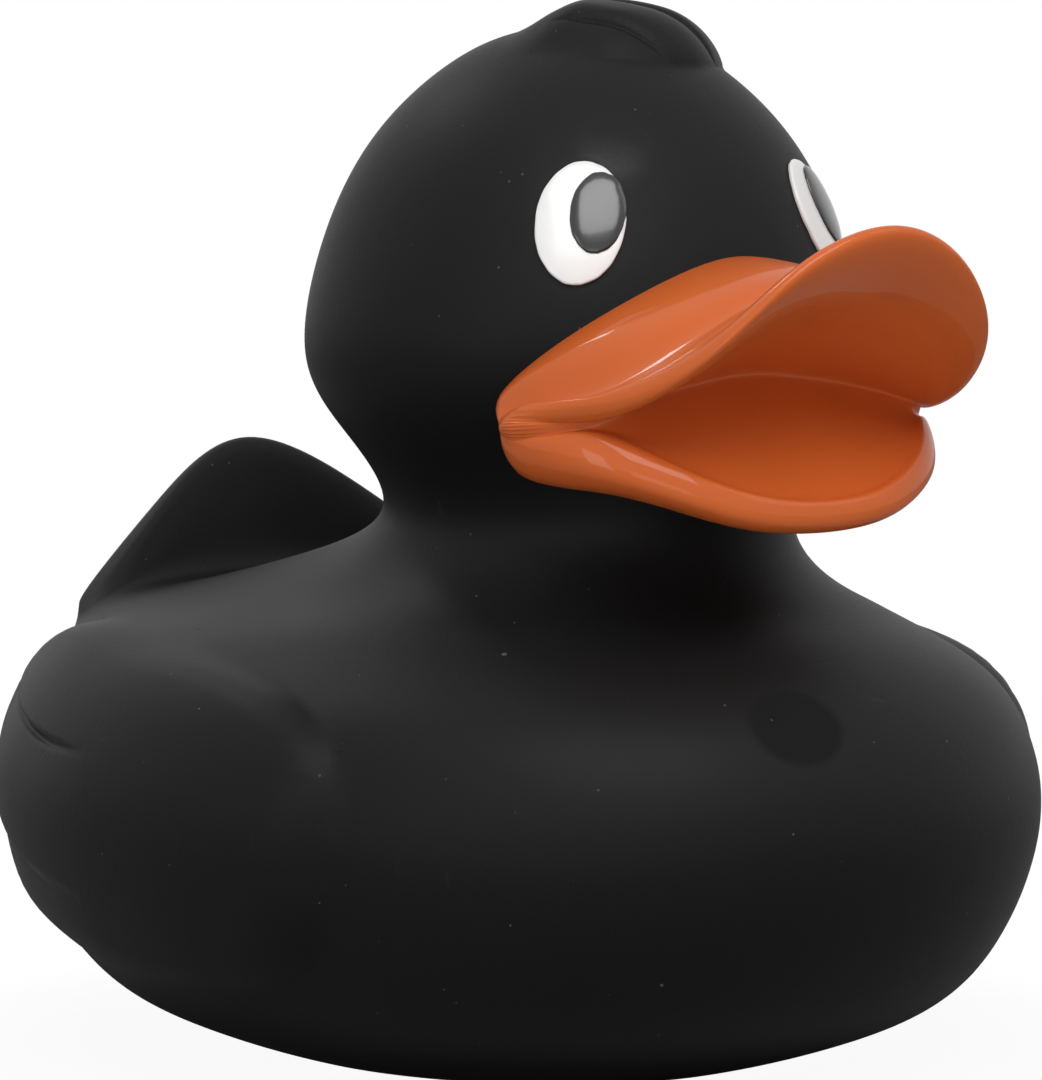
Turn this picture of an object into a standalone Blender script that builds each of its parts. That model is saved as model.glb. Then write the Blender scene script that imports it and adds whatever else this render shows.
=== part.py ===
"""Bath duck with a wide open bill: one hollow vinyl moulding with a press-in squeaker.

Metres, +Z up. The duck faces -Y, its right side is at -X, and it stands on its flat
base at Z = 0. Bill and eyes are paint on the moulding, so they are fields of colour.
"""

from math import cos, pi, radians, sin

import bmesh
import bpy
import numpy as np
from mathutils import Matrix, Vector
from mathutils.bvhtree import BVHTree

# Moulding
WALL = 0.0030
BODY_Y = 0.0027
BODY_HALF_WIDTH = 0.0930
BODY_FRONT = 0.1090
BODY_REAR = 0.1090
BODY_WIDEST_Z = 0.0430
SHOULDER_Z = 0.0820
NECK_RADIUS = 0.0375
NECK_Z = 0.1050
HEAD_RADIUS = 0.0528
HEAD_Y = BODY_Y - 0.0200
HEAD_Z = 0.1385
HEAD_TOP_Z = 0.1960

# Tail
TAIL_TIP_Y = BODY_Y + 0.1020
TAIL_TIP_Z = 0.1175
TAIL_SHOULDER_X = 0.0250
TAIL_SHOULDER_Z = 0.1010
TAIL_SHOULDER_BACK = 0.0100
TAIL_SIDE_BACK = 0.0180
TAIL_SIDE_DROP = 0.0110
TAIL_THICKNESS = 0.0110

# Wings
WING_CENTRE_Y = BODY_Y + 0.0150
WING_CENTRE_Z = 0.0540
WING_TILT_DEGREES = 12.0
WING_HALF_LENGTH = 0.0690
WING_HALF_HEIGHT = 0.0325
WING_RISE = 0.0095
WING_CORNER = 0.42
WING_ROUND = 0.85
WING_THICKNESS = 0.0050
SLIT_LENGTH = 0.0620
SLIT_DEPTH = 0.0040
SLIT_WIDTH = 0.0024
# Rear and front end of each slit, as a place along the duck and a height
SLITS = (
    ((BODY_Y + 0.0700, 0.0670), (BODY_Y + 0.0030, 0.0605)),
    ((BODY_Y + 0.0720, 0.0475), (BODY_Y + 0.0070, 0.0350)),
)

# Bill
BILL_HALF_WIDTH = 0.0464
MOUTH_Z = 0.1235
MOUTH_RISE = 0.0070
CORNER_GAP = 0.0024
UPPER_REACH = 0.0448
UPPER_RISE = 0.0350
UPPER_WAIST = 0.0080
LOWER_REACH = 0.0252
LOWER_DROP = 0.0143
LIP_THICKNESS = 0.0050
ROOT_RISE = 0.0316
ROOT_END = 0.0030
ROOT_DEGREES = 60.0
BILL_ROOT_DEPTH = 0.0050
# Shares of the head's radius from its middle to the face and to the mouth's corners
FACE_SHARE = 0.96
CORNER_SHARE = 0.64
CHIN_DEGREES = 54.0
CHIN_DROP = 0.0160
THROAT_DEPTH = 0.0028
THROAT_HALF_WIDTH = BILL_HALF_WIDTH - 0.0090

# Eyes
EYE_DEGREES = 34.6
EYE_LEAN_DEGREES = 6.7
EYE_Z = 0.1600
EYE_HALF_WIDTH = 0.0090
EYE_HALF_HEIGHT = 0.0124
EYE_STEP = 0.0008
PUPIL_HALF_WIDTH = 0.0052
PUPIL_HALF_HEIGHT = 0.0081
PUPIL_LIFT = 0.0015

# Crest
CREST_LENGTH = 0.0390
CREST_WIDTH = 0.0165
CREST_HEIGHT = 0.0060
CREST_FLARE = 0.20
CREST_SPACING = 0.0118
CREST_STAGGER = 0.0015
CREST_X = 0.0036
CREST_Y = BODY_Y - 0.0302
CREST_COMB_DEGREES = 40.0

# Squeaker
SQUEAKER_RADIUS = 0.0080
FLANGE_RADIUS = 0.0115
FLANGE_THICKNESS = 0.0012
SQUEAKER_HEIGHT = 0.0110
SQUEAKER_WALL = 0.0014
AIR_HOLE_RADIUS = 0.0016
REED_THICKNESS = 0.0005
BOSS_RADIUS = 0.0150
BOSS_HEIGHT = 0.0060
FIT = 0.0003

COLUMN_DEGREES = (0, 35, 70, 104, 136, 158, 180)
TAIL_COLUMNS = 2
TAIL_LOW_RING = 6
SHELL_LEVELS = 2
PART_LEVELS = 1


def make_material(name, colour, roughness, metallic=0.0):
    material = bpy.data.materials.new(name)
    material.use_nodes = True
    shader = material.node_tree.nodes["Principled BSDF"]
    shader.inputs["Base Color"].default_value = (*colour, 1.0)
    shader.inputs["Roughness"].default_value = roughness
    shader.inputs["Metallic"].default_value = metallic
    return material


def make_collection(name):
    collection = bpy.data.collections.new(name)
    bpy.context.scene.collection.children.link(collection)
    return collection


def place_object(name, mesh, collection, material):
    thing = bpy.data.objects.new(name, mesh)
    collection.objects.link(thing)
    mesh.materials.clear()
    mesh.materials.append(material)
    return thing


def mesh_from(name, bm, turned_out=False):
    if not turned_out:
        bmesh.ops.recalc_face_normals(bm, faces=bm.faces)
    mesh = bpy.data.meshes.new(name)
    bm.to_mesh(mesh)
    bm.free()
    mesh.shade_smooth()
    return mesh


def smoothed(name, cage, levels, inward=0.0):
    """Mesh of a cage under Subdivision Surface, moved in from its surface if asked."""
    thing = bpy.data.objects.new(name, cage)
    bpy.context.scene.collection.objects.link(thing)
    smooth = thing.modifiers.new("Smooth form", "SUBSURF")
    smooth.levels = round(levels)
    smooth.render_levels = smooth.levels
    if inward:
        shrink = thing.modifiers.new("Wall", "DISPLACE")
        shrink.mid_level = 0.0
        shrink.strength = -inward
    depsgraph = bpy.context.evaluated_depsgraph_get()
    result = bpy.data.meshes.new_from_object(thing.evaluated_get(depsgraph))
    result.name = name
    bpy.data.objects.remove(thing)
    return result


def cut_below(mesh, height):
    """Cuts a mesh flat at a height and closes the cut."""
    bm = bmesh.new()
    bm.from_mesh(mesh)
    cut = bmesh.ops.bisect_plane(
        bm,
        geom=[*bm.verts, *bm.edges, *bm.faces],
        plane_co=(0, 0, height),
        plane_no=(0, 0, 1),
        clear_inner=True,
    )
    edges = [item for item in cut["geom_cut"] if isinstance(item, bmesh.types.BMEdge)]
    bmesh.ops.contextual_create(bm, geom=edges)
    bmesh.ops.recalc_face_normals(bm, faces=bm.faces)
    bm.to_mesh(mesh)
    bm.free()


def spline_matrix(count, closed):
    """Weights by which a cage's points give the points of its smooth surface."""
    weights = np.eye(count)
    for i in range(count):
        if closed or 0 < i < count - 1:
            weights[i, i] = 4 / 6
            weights[i, (i - 1) % count] += 1 / 6
            weights[i, (i + 1) % count] += 1 / 6
    return weights


def cage_through(grid):
    """Cage whose smooth surface passes through a grid of rows that are closed rings."""
    points = np.array(grid, float)
    rows = np.linalg.inv(spline_matrix(points.shape[0], False))
    columns = np.linalg.inv(spline_matrix(points.shape[1], True))
    return np.einsum("ij,jkc,lk->ilc", rows, points, columns)


def ring_faces(bm, low, high):
    """Quads between two rings of as many vertices."""
    count = len(low)
    for i in range(count):
        j = (i + 1) % count
        bm.faces.new((low[i], low[j], high[j], high[i]))


def lofted(bm, grid):
    """Closed form through rows of rings, with an end face at each end."""
    rows = [[bm.verts.new(point) for point in row] for row in grid]
    for low, high in zip(rows, rows[1:]):
        ring_faces(bm, low, high)
    bm.faces.new(rows[0])
    bm.faces.new(rows[-1])
    return rows


def trunk_sections():
    """Height, centre Y, half width, front reach and rear reach of each ring."""
    sections = []
    lower_body = (
        # share of the height of the widest ring, of the width and front, of the rear
        (-0.12, 0.20, 0.19),
        (-0.03, 0.45, 0.41),
        (0.15, 0.705, 0.64),
        (0.44, 0.895, 0.855),
        (1.00, 1.000, 1.000),
    )
    for height, spread, rear in lower_body:
        sections.append(
            (
                height * BODY_WIDEST_Z,
                BODY_Y,
                BODY_HALF_WIDTH * spread,
                BODY_FRONT * spread,
                BODY_REAR * rear,
            )
        )
    shoulder = (
        # share of the rise to the shoulder, then of the width, front and rear
        (0.50, 0.982, 0.975, 0.985),
        (0.80, 0.890, 0.894, 0.930),
        (1.00, 0.745, 0.793, 0.850),
    )
    for height, width, front, rear in shoulder:
        sections.append(
            (
                BODY_WIDEST_Z + height * (SHOULDER_Z - BODY_WIDEST_Z),
                BODY_Y,
                BODY_HALF_WIDTH * width,
                BODY_FRONT * front,
                BODY_REAR * rear,
            )
        )
    neck = (
        # share of the rise to the neck, then of its radius: width, front and rear
        (0.20, 1.456, 1.507, 2.65),
        (0.46, 1.178, 1.312, 1.93),
        (1.00, 1.000, 1.190, 1.03),
    )
    for height, width, front, rear in neck:
        sections.append(
            (
                SHOULDER_Z + height * (NECK_Z - SHOULDER_Z),
                HEAD_Y,
                NECK_RADIUS * width,
                NECK_RADIUS * front,
                NECK_RADIUS * rear,
            )
        )
    head = (
        # share of the rise to the widest ring, share of the head's radius
        (0.52, 0.902),
        (1.00, 1.000),
    )
    for height, spread in head:
        radius = HEAD_RADIUS * spread
        z = NECK_Z + height * (HEAD_Z - NECK_Z)
        sections.append((z, HEAD_Y, radius, radius, radius))
    crown = (
        # share of the rise from the widest ring to the top, share of the radius
        (0.38, 0.900),
        (0.70, 0.690),
        (0.92, 0.390),
        (1.00, 0.110),
    )
    for height, spread in crown:
        radius = HEAD_RADIUS * spread
        z = HEAD_Z + height * (HEAD_TOP_Z - HEAD_Z)
        sections.append((z, HEAD_Y, radius, radius, radius))
    return sections


def trunk_ring(section):
    z, centre_y, half_width, front, rear = section
    half = [radians(a) for a in COLUMN_DEGREES]
    angles = half + [2 * pi - a for a in reversed(half[1:-1])]
    points = []
    for angle in angles:
        reach = front if cos(angle) > 0 else rear
        points.append((half_width * sin(angle), centre_y - reach * cos(angle), z))
    return points


def trunk_cage(with_tail):
    """Body, neck and head in one stack of rings, with the tail drawn from its rear."""
    grid = cage_through([trunk_ring(section) for section in trunk_sections()])
    bm = bmesh.new()
    rows = lofted(bm, grid)
    if with_tail:
        rear = len(COLUMN_DEGREES) - 1
        columns = range(rear - TAIL_COLUMNS, rear + TAIL_COLUMNS + 1)
        low = [rows[TAIL_LOW_RING][c] for c in columns]
        high = [rows[TAIL_LOW_RING + 1][c] for c in columns]
        add_tail(bm, low, high)
    return mesh_from("trunk", bm)


def add_tail(bm, low, high):
    """Wide fan drawn up from the faces between two stretches of rear vertices."""
    inner = set(low) | set(high)
    root = [face for face in bm.faces if set(face.verts) <= inner]
    bmesh.ops.delete(bm, geom=root, context="FACES")
    tips = (
        (TAIL_TIP_Y, TAIL_TIP_Z),
        (TAIL_TIP_Y - TAIL_SHOULDER_BACK, TAIL_SHOULDER_Z),
        (TAIL_TIP_Y - TAIL_SIDE_BACK, 0.5 * (TAIL_SHOULDER_Z + SHOULDER_Z) - TAIL_SIDE_DROP),
    )
    ring = low + list(reversed(high))
    count = len(low)
    for share, thickness in ((0.45, 0.85), (0.85, 0.60), (1.0, 0.35)):
        grown = []
        for i, vert in enumerate(ring):
            top = i >= count
            place = 2 * count - 1 - i if top else i
            steps = place - TAIL_COLUMNS
            y, z = tips[abs(steps)]
            base = (low + list(reversed(high)))[i].co
            side = -1 if top else 1
            tip = Vector(
                (-steps * TAIL_SHOULDER_X, y + side * thickness * TAIL_THICKNESS / 2, z)
            )
            grown.append(bm.verts.new(base.lerp(tip, share)))
        ring_faces(bm, ring, grown)
        ring = grown
    for i in range(count - 1):
        j = 2 * count - 1 - i
        bm.faces.new((ring[i], ring[i + 1], ring[j - 1], ring[j]))


def surface_tree(mesh):
    bm = bmesh.new()
    bm.from_mesh(mesh)
    tree = BVHTree.FromBMesh(bm)
    bm.free()
    return tree


def hit(tree, start, direction):
    """Point and outward normal where a ray meets the trunk."""
    point, normal, _, _ = tree.ray_cast(Vector(start), Vector(direction))
    if normal.dot(Vector(direction)) > 0:
        outward = normal
    else:
        outward = -normal
    return point, outward


def face_point(tree, degrees, z):
    """Point on the head at a height, by its angle from straight ahead."""
    angle = radians(degrees)
    direction = (sin(angle), -cos(angle), 0)
    return hit(tree, (0, HEAD_Y, z), direction)


def pad(name, tree, view, outline, layers):
    """Relief that follows the trunk. The outline is seen along a view, which is an
    origin and the view's two axes and direction, and each layer is a share of the
    outline and a height above the trunk's surface."""
    origin, across, up, inward = view
    bm = bmesh.new()
    rows = []
    for share, height in layers:
        row = []
        for p, q in outline:
            start = origin + across * (p * share) + up * (q * share)
            point, normal, _, _ = tree.ray_cast(start, inward)
            if point is None:
                point, normal, _, _ = tree.find_nearest(start)
            row.append(point + normal * height)
        rows.append(row)
    lofted(bm, rows)
    return mesh_from(name, bm)


def wing_outline(count=16):
    """A wing seen from its side: higher towards the tail, squarest at the top in front."""
    points = []
    for i in range(count):
        angle = 2 * pi * (i + 0.5) / count
        c, s = cos(angle), sin(angle)
        power = WING_CORNER if c < 0 < s else WING_ROUND
        p = WING_HALF_LENGTH * abs(c) ** power * (1 if c > 0 else -1)
        q = WING_HALF_HEIGHT * abs(s) ** power * (1 if s > 0 else -1)
        points.append((p, q + WING_RISE * p / WING_HALF_LENGTH))
    return points


def wing_view(side):
    """Looks at a wing from the side and a little from above."""
    tilt = radians(WING_TILT_DEGREES)
    outward = Vector((side * cos(tilt), 0, sin(tilt)))
    up = Vector((-side * sin(tilt), 0, cos(tilt)))
    middle = Vector((side * BODY_HALF_WIDTH, WING_CENTRE_Y, WING_CENTRE_Z))
    return middle + outward * BODY_HALF_WIDTH, Vector((0, 1, 0)), up, -outward


def wing_mesh(tree, side):
    view = wing_view(side)
    layers = (
        (1.00, -0.4 * WALL),
        (1.00, 0.45 * WING_THICKNESS),
        (0.93, 0.90 * WING_THICKNESS),
        (0.70, WING_THICKNESS),
        (0.35, WING_THICKNESS),
    )
    cage = pad("wing", tree, view, wing_outline(), layers)
    return smoothed("wing", cage, PART_LEVELS)


def slit_mesh(tree, side, rear, front):
    """Leaf-shaped cutter lying along a line in the wing's surface."""
    ends = []
    for y, z in (rear, front):
        start = Vector((side * 2 * BODY_HALF_WIDTH, y, z))
        point, normal, _, _ = tree.ray_cast(start, Vector((-side, 0, 0)))
        ends.append(point + normal * WING_THICKNESS)
    middle_y = 0.5 * (rear[0] + front[0])
    middle_z = 0.5 * (rear[1] + front[1])
    start = Vector((side * 2 * BODY_HALF_WIDTH, middle_y, middle_z))
    point, normal, _, _ = tree.ray_cast(start, Vector((-side, 0, 0)))
    along = (ends[0] - ends[1]).normalized()
    centre = point + normal * WING_THICKNESS
    bulge = (centre - 0.5 * (ends[0] + ends[1])).length
    across = along.cross(normal).normalized()
    outward = across.cross(along).normalized()
    turn = Matrix((along, outward, across)).transposed().to_4x4()
    size = Matrix.Diagonal((SLIT_LENGTH / 2, SLIT_DEPTH, SLIT_WIDTH / 2, 1))
    bm = bmesh.new()
    bmesh.ops.create_uvsphere(bm, u_segments=16, v_segments=8, radius=1.0)
    for vert in bm.verts:
        local = size @ vert.co
        drop = bulge * (local.x / (SLIT_LENGTH / 2)) ** 2
        vert.co = centre + turn @ (local - Vector((0, drop, 0)))
    return mesh_from("slit", bm, turned_out=True)


def ellipse_outline(half_width, half_height, count=16):
    return [
        (half_width * cos(2 * pi * i / count), half_height * sin(2 * pi * i / count))
        for i in range(count)
    ]


def eye_view(tree, side):
    """Looks at an eye's middle along the head's normal there."""
    point, normal = face_point(tree, side * EYE_DEGREES, EYE_Z)
    lean = Matrix.Rotation(side * radians(EYE_LEAN_DEGREES), 3, normal)
    across = Vector((0, 0, 1)).cross(normal).normalized()
    up = normal.cross(across).normalized()
    return point + normal * HEAD_RADIUS, lean @ across, lean @ up, -normal


def eye_mesh(tree, side):
    layers = ((1.0, -WALL / 2), (1.0, 0.6 * EYE_STEP), (0.93, EYE_STEP), (0.5, EYE_STEP))
    outline = ellipse_outline(EYE_HALF_WIDTH, EYE_HALF_HEIGHT)
    return pad("eye", tree, eye_view(tree, side), outline, layers)


def pupil_mesh(tree, side):
    """Both pupils look to the duck's left, so they are not a mirrored pair."""
    origin, across, up, inward = eye_view(tree, side)
    shift = EYE_HALF_WIDTH - PUPIL_HALF_WIDTH - EYE_STEP / 2
    view = (origin + across * shift + up * PUPIL_LIFT, across, up, inward)
    top = EYE_STEP + 0.0002
    layers = ((1.0, 0.0), (1.0, top), (0.5, top))
    outline = ellipse_outline(PUPIL_HALF_WIDTH, PUPIL_HALF_HEIGHT)
    return pad("pupil", tree, view, outline, layers)


def crest_mesh(tree, index):
    """One strand of the tuft, combed over the brow to the duck's left."""
    comb = radians(CREST_COMB_DEGREES)
    along = Vector((sin(comb), -cos(comb), 0))
    across = Vector((cos(comb), sin(comb), 0))
    middle = Vector((CREST_X, CREST_Y, 0)) + across * (index - 1) * CREST_SPACING
    middle -= along * CREST_STAGGER * (2 - index) ** 2
    bm = bmesh.new()
    bmesh.ops.create_uvsphere(bm, u_segments=12, v_segments=8, radius=1.0)
    for vert in bm.verts:
        length, breadth, height = vert.co.z, vert.co.x, vert.co.y
        place = middle + along * length * CREST_LENGTH / 2
        place += across * breadth * (1 + CREST_FLARE * length) * CREST_WIDTH / 2
        start = Vector((place.x, place.y, 2 * HEAD_TOP_Z))
        point, normal, _, _ = tree.ray_cast(start, Vector((0, 0, -1)))
        rise = CREST_HEIGHT * (1 + CREST_FLARE * length)
        vert.co = point + normal * rise * (height - 0.15)
    return mesh_from("crest", bm, turned_out=True)


def bill_station(tree, degrees):
    """Ring of points round both lips, where degrees run from the middle to a corner."""
    side = 1 if degrees >= 0 else -1
    turn = abs(degrees) / 90
    f, g = max(cos(turn * pi / 2), 0.0), sin(turn * pi / 2)
    shut = turn**10
    face_y = HEAD_Y - FACE_SHARE * HEAD_RADIUS
    corner_y = HEAD_Y - CORNER_SHARE * HEAD_RADIUS
    out = Vector((side * g, -f, 0))
    along = Vector((side * f, g, 0))
    up = Vector((0, 0, 1))

    root_z = MOUTH_Z + ROOT_RISE - (ROOT_RISE - ROOT_END) * turn**1.5
    root, normal = face_point(tree, side * ROOT_DEGREES * turn, root_z)
    width = BILL_HALF_WIDTH * g**0.77 - UPPER_WAIST * 2 * f * g * g
    reach = corner_y - (face_y - UPPER_REACH)
    upper = Vector(
        (side * width, corner_y - reach * f**0.70, MOUTH_Z + CORNER_GAP + UPPER_RISE * f**2.5)
    )
    half = LIP_THICKNESS / 2 * (1 - 0.5 * shut)
    crown = upper + up * half * turn**2
    hump = root.lerp(crown, 0.30) + up * (0.0026 - 0.0062 * f**2)
    valley = root.lerp(crown, 0.58) + up * (0.0005 - 0.0115 * f**2)
    flare = root.lerp(crown, 0.80) + up * (-0.0083 * f**2)
    tangent = (upper - flare).normalized()
    across = tangent.cross(along).normalized() * side
    if across.z < 0:
        across = -across
    rim_top = upper + across * half - tangent * 0.3 * half
    rim_nose = upper + tangent * 0.5 * half
    rim_low = upper - across * half - tangent * 0.3 * half

    reach = corner_y + 0.0035 - (face_y - LOWER_REACH)
    lower = Vector(
        (
            side * BILL_HALF_WIDTH * g**1.05,
            corner_y + 0.0035 * f - reach * f**1.12,
            MOUTH_Z - CORNER_GAP / 2 - LOWER_DROP * f**2.7,
        )
    )
    deep = Vector(
        (
            side * THROAT_HALF_WIDTH * g**1.5,
            corner_y * (1 - f) + (face_y - THROAT_DEPTH) * f - 0.010 * 2 * f * g * g,
            MOUTH_Z - 0.001 + MOUTH_RISE * f**2,
        )
    )
    rim_lower_top = lower + (up * 0.0012 - out * 0.0010) * (1 - shut)
    edge = lower - out * (0.0030 + 0.001 * g) + up * 0.0014
    under_flare = flare - across * LIP_THICKNESS
    corner = Vector((upper.x, upper.y, MOUTH_Z))
    inside = []
    for place, height in (
        (under_flare, 0.33),
        (under_flare.lerp(deep, 0.5), 0.17),
        (deep, 0.0),
        (deep.lerp(edge, 0.5) - up * 0.0012, -0.17),
        (edge, -0.33),
    ):
        inside.append(place.lerp(corner + up * CORNER_GAP * height, shut))

    bulge = lower + out * (0.0008 + 0.0018 * g) - up * (0.0022 + 0.0035 * g)
    bottom = lower - out * 0.0020 - up * (0.0046 + 0.0064 * g**1.5)
    chin_z = MOUTH_Z - CHIN_DROP + 0.005 * g
    chin, chin_normal = face_point(tree, side * CHIN_DEGREES * turn, chin_z)
    under = bottom.lerp(chin, 0.45) - up * 0.001
    return [
        root - normal * BILL_ROOT_DEPTH,
        root + normal * 0.0002,
        hump,
        valley,
        flare,
        rim_top,
        rim_nose,
        rim_low,
        *inside,
        rim_lower_top,
        bulge,
        bottom,
        under,
        chin - chin_normal * BILL_ROOT_DEPTH,
    ]


def bill_mesh(tree):
    """Both lips in one loft from the left corner of the mouth to the right one."""
    half = (90, 76, 60, 42, 21)
    degrees = [-d for d in half] + [0] + list(reversed(half))
    rows = [bill_station(tree, d) for d in degrees]
    bm = bmesh.new()
    lofted(bm, rows)
    return smoothed("bill", mesh_from("bill_cage", bm), PART_LEVELS)


def turned(name, profile, collection, material, steps=20):
    """Solid of revolution about Z from an outline of radii and heights."""
    mesh = bpy.data.meshes.new(name)
    bm = bmesh.new()
    verts = [bm.verts.new((r, 0, z)) for r, z in reversed(profile)]
    for a, b in zip(verts, verts[1:] + verts[:1]):
        bm.edges.new((a, b))
    bm.to_mesh(mesh)
    bm.free()
    thing = place_object(name, mesh, collection, material)
    screw = thing.modifiers.new("Turned", "SCREW")
    screw.steps = steps
    screw.render_steps = steps
    screw.use_merge_vertices = True
    screw.merge_threshold = 0.00001
    screw.use_smooth_shade = True
    return thing


def join_or_cut(target, tool, operation):
    change = target.modifiers.new(tool.name, "BOOLEAN")
    change.operation = operation
    change.solver = "EXACT"
    change.material_mode = "TRANSFER"
    change.object = tool


def add_cylinder(name, radius, low, high, collection, material, segments=40):
    bm = bmesh.new()
    bmesh.ops.create_cone(
        bm,
        cap_ends=True,
        segments=segments,
        radius1=radius,
        radius2=radius,
        depth=high - low,
    )
    bmesh.ops.translate(bm, verts=bm.verts, vec=(0, 0, (low + high) / 2))
    return place_object(name, mesh_from(name, bm), collection, material)


def add_shell(parts, tools, paint):
    """The moulding: trunk, wings, crest, bill and eyes in one hollow piece."""
    trunk = smoothed("duck_shell", trunk_cage(True), SHELL_LEVELS)
    cut_below(trunk, 0.0)
    tree = surface_tree(trunk)
    shell = place_object("duck_shell", trunk, parts, paint["black"])

    reliefs = []
    for side, name in ((-1, "right"), (1, "left")):
        reliefs.append(("wing_" + name, wing_mesh(tree, side), "black"))
        reliefs.append(("eye_" + name, eye_mesh(tree, side), "white"))
        reliefs.append(("pupil_" + name, pupil_mesh(tree, side), "gloss"))
    for index, name in enumerate(("right", "middle", "left")):
        reliefs.append(("crest_" + name, crest_mesh(tree, index), "black"))
    reliefs.append(("bill", bill_mesh(tree), "orange"))
    for name, mesh, colour in reliefs:
        join_or_cut(shell, place_object(name, mesh, tools, paint[colour]), "UNION")

    for side, name in ((-1, "right"), (1, "left")):
        for number, (rear, front) in enumerate(SLITS, 1):
            mesh = slit_mesh(tree, side, rear, front)
            slit = place_object(f"slit_{name}_{number}", mesh, tools, paint["black"])
            join_or_cut(shell, slit, "DIFFERENCE")

    hollow = smoothed("hollow", trunk_cage(False), PART_LEVELS, inward=WALL)
    cut_below(hollow, WALL)
    join_or_cut(shell, place_object("hollow", hollow, tools, paint["black"]), "DIFFERENCE")
    boss = add_cylinder("boss", BOSS_RADIUS, WALL / 2, BOSS_HEIGHT, tools, paint["black"])
    join_or_cut(shell, boss, "UNION")
    bore = add_cylinder(
        "bore", SQUEAKER_RADIUS + FIT, -WALL, 2 * BOSS_HEIGHT, tools, paint["black"]
    )
    join_or_cut(shell, bore, "DIFFERENCE")
    recess = add_cylinder(
        "recess",
        FLANGE_RADIUS + FIT,
        -WALL,
        2 * FIT + FLANGE_THICKNESS,
        tools,
        paint["black"],
    )
    join_or_cut(shell, recess, "DIFFERENCE")


def add_squeaker(parts, paint):
    """Press-in whistle: a flanged cup, and a reed disc on the ledge inside it."""
    inner = SQUEAKER_RADIUS - SQUEAKER_WALL
    seat = SQUEAKER_HEIGHT / 2
    low = FIT
    flange = low + FLANGE_THICKNESS
    turned(
        "squeaker_cup",
        (
            (AIR_HOLE_RADIUS, low),
            (FLANGE_RADIUS, low),
            (FLANGE_RADIUS, flange),
            (SQUEAKER_RADIUS, flange),
            (SQUEAKER_RADIUS, SQUEAKER_HEIGHT),
            (inner, SQUEAKER_HEIGHT),
            (inner, seat),
            (inner - SQUEAKER_WALL, seat),
            (inner - SQUEAKER_WALL, flange),
            (AIR_HOLE_RADIUS, flange),
        ),
        parts,
        paint["squeaker"],
    )
    turned(
        "squeaker_reed",
        (
            (AIR_HOLE_RADIUS / 2, seat + FIT),
            (inner - FIT, seat + FIT),
            (inner - FIT, seat + FIT + REED_THICKNESS),
            (AIR_HOLE_RADIUS / 2, seat + FIT + REED_THICKNESS),
        ),
        parts,
        paint["reed"],
    )


def main():
    for thing in list(bpy.data.objects):
        bpy.data.objects.remove(thing)
    parts = make_collection("bath_duck")
    tools = make_collection("cutters")
    paint = {
        "black": make_material("black_vinyl", (0.020, 0.020, 0.021), 0.55),
        "orange": make_material("orange_paint", (0.62, 0.15, 0.035), 0.22),
        "white": make_material("white_paint", (0.90, 0.90, 0.90), 0.25),
        "gloss": make_material("black_paint", (0.010, 0.010, 0.012), 0.12),
        "squeaker": make_material("white_plastic", (0.75, 0.75, 0.73), 0.40),
        "reed": make_material("clear_film", (0.55, 0.58, 0.60), 0.30),
    }
    add_shell(parts, tools, paint)
    add_squeaker(parts, paint)
    for tool in tools.objects:
        tool.hide_render = True
        tool.display_type = "WIRE"


main()
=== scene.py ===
"""Bath duck with a wide open bill: its moulded skin, painted bill and eyes, over the frame.

Metres, +Z up. The duck faces -Y, its right side is at -X, and it stands at Z = 0.
"""

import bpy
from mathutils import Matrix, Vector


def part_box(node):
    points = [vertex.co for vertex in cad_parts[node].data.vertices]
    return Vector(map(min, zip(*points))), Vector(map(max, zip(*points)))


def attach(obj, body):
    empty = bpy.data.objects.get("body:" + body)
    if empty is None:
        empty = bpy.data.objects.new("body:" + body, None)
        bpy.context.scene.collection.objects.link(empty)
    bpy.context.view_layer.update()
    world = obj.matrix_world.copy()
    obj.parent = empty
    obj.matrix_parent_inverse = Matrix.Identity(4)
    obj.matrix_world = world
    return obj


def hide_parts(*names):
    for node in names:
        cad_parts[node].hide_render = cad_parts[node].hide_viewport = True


bl_info = {
    "name": "Bath Duck",
    "version": (1, 0, 0),
    "blender": (4, 5, 0),
    "location": "View3D > Sidebar > Bath Duck",
    "description": "Models an open-billed bath duck with its vinyl and paint, and a studio",
    "category": "Add Mesh",
}

from math import atan2, cos, pi, radians, sin

import bmesh
import bpy
import numpy as np
from bpy.props import FloatProperty, FloatVectorProperty, IntProperty, PointerProperty
from bpy.types import Operator, Panel, PropertyGroup
from mathutils import Matrix, Vector
from mathutils.bvhtree import BVHTree

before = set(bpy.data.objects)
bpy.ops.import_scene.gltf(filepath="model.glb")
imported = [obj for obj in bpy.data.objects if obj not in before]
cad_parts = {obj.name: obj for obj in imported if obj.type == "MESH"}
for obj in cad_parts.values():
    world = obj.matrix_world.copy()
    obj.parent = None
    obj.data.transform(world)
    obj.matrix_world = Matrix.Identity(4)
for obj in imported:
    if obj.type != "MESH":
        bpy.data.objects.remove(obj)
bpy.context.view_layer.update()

PHOTO_WIDTH = 1042
SENSOR_WIDTH = 36.0
# Points closer together than this are the same point
SAME_PLACE = 0.0001

# Shares of the height of the body's widest ring, of the width and front, and of the rear
LOWER_BODY = (
    (-0.12, 0.20, 0.19),
    (-0.03, 0.45, 0.41),
    (0.15, 0.705, 0.64),
    (0.44, 0.895, 0.855),
    (1.00, 1.000, 1.000),
)
# Share of the rise to the shoulder, then of the width, front and rear
SHOULDER = (
    (0.50, 0.982, 0.975, 0.985),
    (0.80, 0.890, 0.894, 0.930),
    (1.00, 0.745, 0.793, 0.850),
)
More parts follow.
